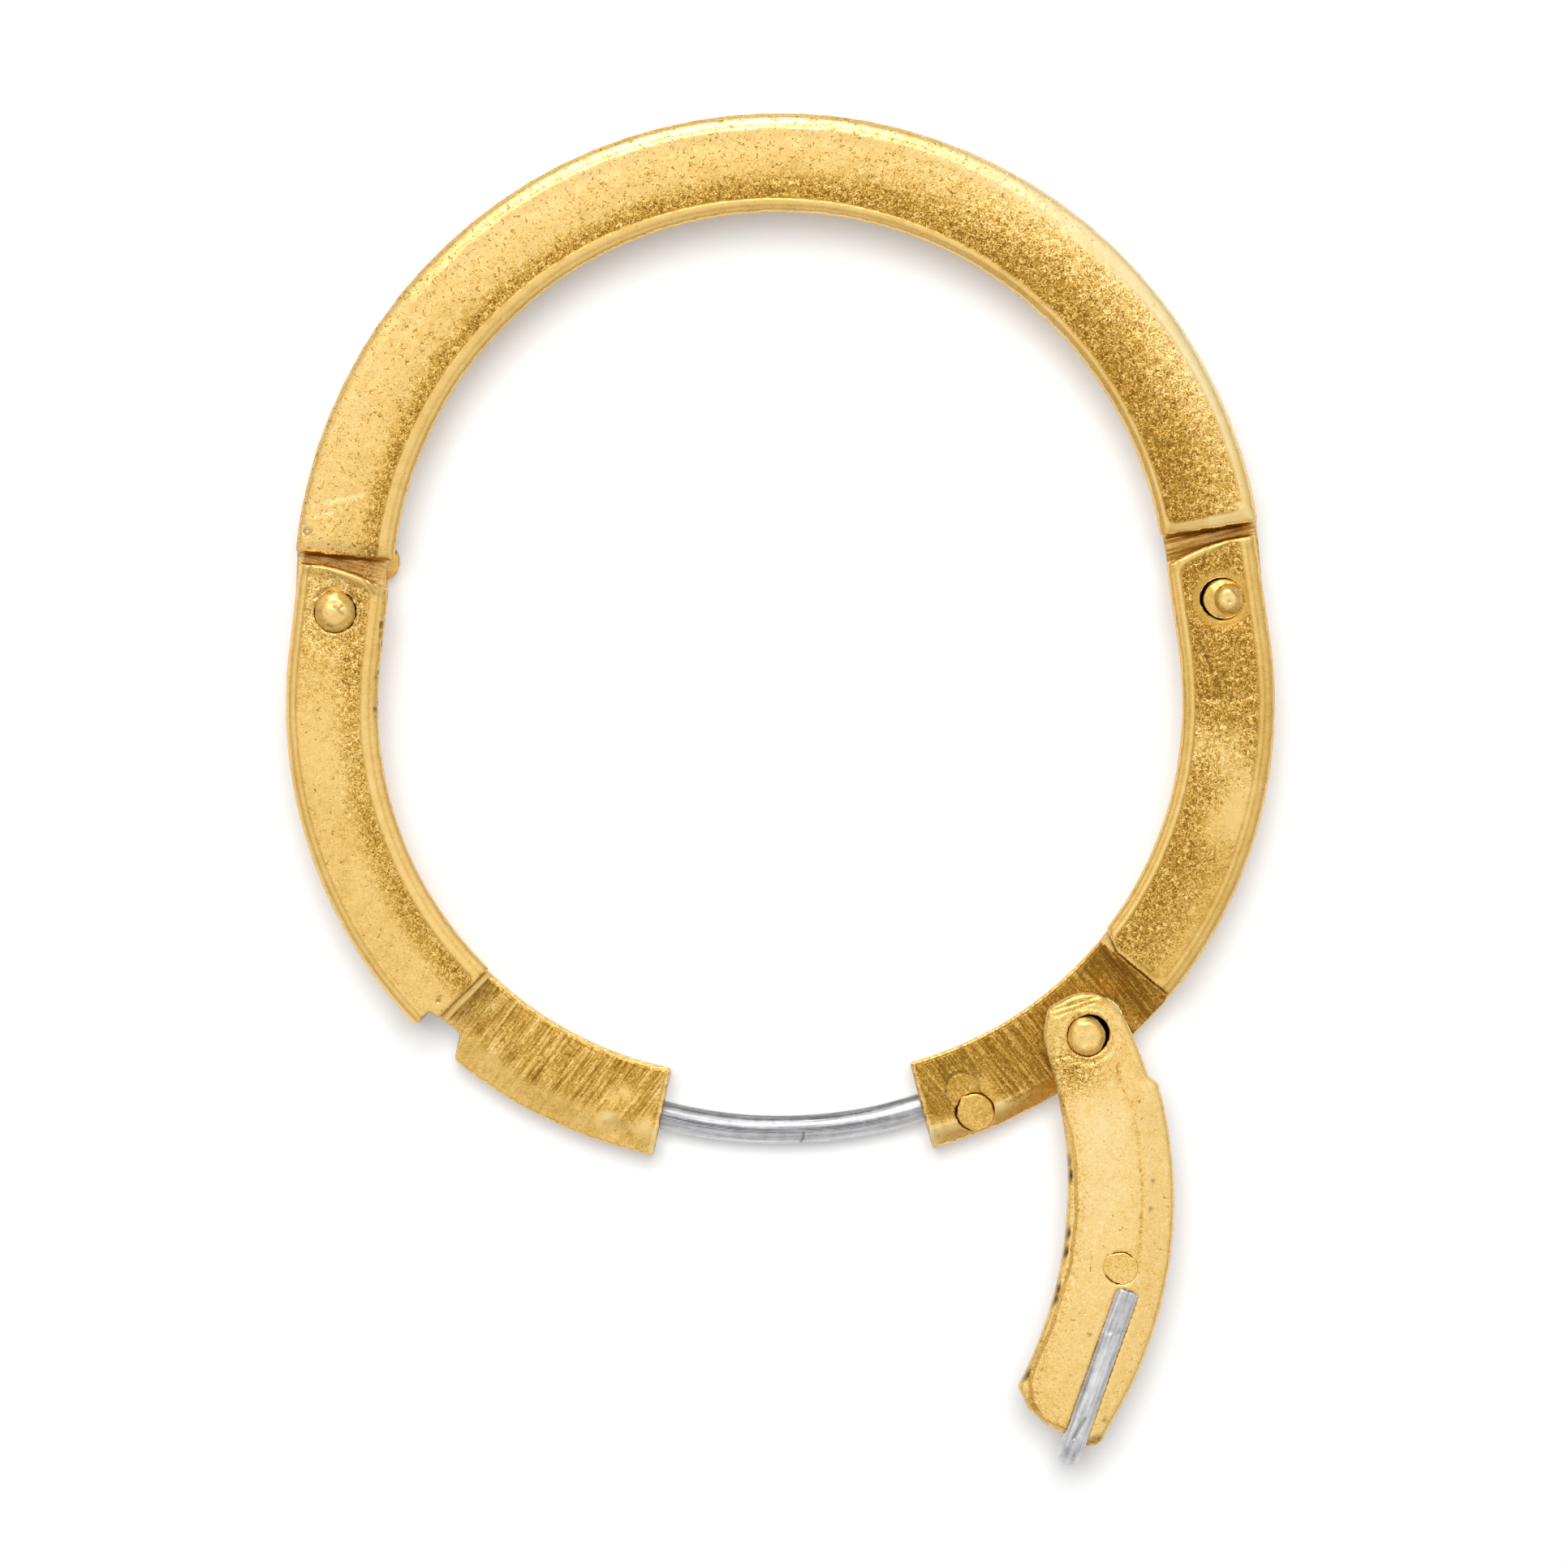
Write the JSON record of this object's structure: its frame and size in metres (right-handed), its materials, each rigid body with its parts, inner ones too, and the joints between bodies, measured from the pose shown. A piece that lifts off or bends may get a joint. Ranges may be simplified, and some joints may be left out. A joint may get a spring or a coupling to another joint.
{
  "type": "hinged expandable ring shank",
  "caption": "Ring shank that opens to pass a knuckle: a rigid arch, hinged lower legs that slide apart on a guide wire, and a latch lever whose wire hook catches in a notch.",
  "frame": {"origin": "middle of the arch's crown, on the rear face", "axes": "+X to the latch side as seen from the front, +Y from the legs to the crown, +Z out of the front face"},
  "size_m": [0.0222, 0.0304, 0.0026],
  "materials": {
    "gold": "satin, as cast",
    "wire": "drawn"
  },
  "bodies": {
    "arch": {"upper_arch": "gold", "left_hinge_pin": "gold", "right_hinge_pin": "gold"},
    "left_leg": {"left_leg": "gold", "guide_stop_pin": "gold"},
    "right_leg": {"right_leg": "gold", "guide_wire": "wire", "guide_anchor_pin": "gold", "latch_pivot_pin": "gold"},
    "lever": {"latch_lever": "gold", "latch_hook_wire": "wire", "latch_detent_pin": "gold"}
  },
  "joints": [
    {"name": "left_leg_hinge", "type": "hinge", "parent": "arch", "child": "left_leg", "pos_m": [-0.00996, -0.00994, 0], "axis": [0, 0, 1], "range_deg": [0, 15.8]},
    {"name": "right_leg_hinge", "type": "hinge", "parent": "arch", "child": "right_leg", "pos_m": [0.00996, -0.00994, 0], "axis": [0, 0, 1], "range_deg": [-15.8, 0]},
    {"name": "latch_swing", "type": "hinge", "parent": "right_leg", "child": "lever", "pos_m": [0.00678, -0.0197, 0], "axis": [0, 0, 1], "range_deg": [-69.5, 58]}
  ],
  "couplings": [
    {"joint": "left_leg_hinge", "follows": "right_leg_hinge", "ratio": -1}
  ]
}
